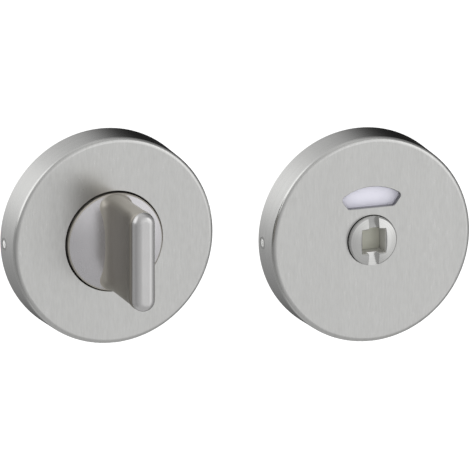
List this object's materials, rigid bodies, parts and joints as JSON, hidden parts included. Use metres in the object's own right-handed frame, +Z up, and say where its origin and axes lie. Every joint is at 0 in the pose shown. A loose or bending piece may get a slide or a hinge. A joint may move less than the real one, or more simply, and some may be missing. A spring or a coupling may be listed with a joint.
{
  "type": "bathroom turn and release lock set",
  "caption": "Round brushed steel bathroom lock set: a thumb turn rose for the inside and a release rose with an indicator window and coin slot for the outside.",
  "frame": {"origin": "spindle axis of the thumb turn at the door face, midway between its two fixing holes", "axes": "+X across from the turn half to the release half, +Y into the door, +Z up"},
  "size_m": [0.1188, 0.0735, 0.0581],
  "materials": {
    "brushed_cover": "fine straight brushed stainless steel",
    "turned_steel": "satin stainless steel",
    "base_nylon": "matte moulded nylon",
    "bush_plastic": "natural bearing plastic",
    "spring_steel": "dark spring steel",
    "screw_steel": "bright stainless screw",
    "plated_steel": "zinc plated steel",
    "indicator_enamel": "white disc with red side fields"
  },
  "bodies": {
    "roses": {"turn_cover": "brushed_cover", "turn_base": "base_nylon", "turn_bush": "bush_plastic", "turn_grub_screw": "screw_steel", "release_cover": "brushed_cover", "release_base": "base_nylon", "release_bush": "bush_plastic", "release_grub_screw": "screw_steel", "sleeve_left": "plated_steel", "sleeve_right": "plated_steel"},
    "turn": {"thumb_turn": "turned_steel", "turn_washer": "spring_steel", "turn_circlip": "spring_steel"},
    "release": {"release_head": "turned_steel", "indicator_disc": "indicator_enamel", "release_washer": "spring_steel", "release_circlip": "spring_steel", "spindle": "plated_steel", "spindle_pin": "plated_steel"}
  },
  "joints": [
    {"name": "turn_spin", "type": "hinge", "parent": "roses", "child": "turn", "pos_m": [0, 0, 0], "axis": [0, -1, 0], "range_deg": [-90, 90]},
    {"name": "release_spin", "type": "hinge", "parent": "roses", "child": "release", "pos_m": [0.0668, 0, -0.0061], "axis": [0, -1, 0], "range_deg": [-90, 90]}
  ],
  "couplings": [
    {"joint": "release_spin", "follows": "turn_spin", "ratio": -1}
  ]
}
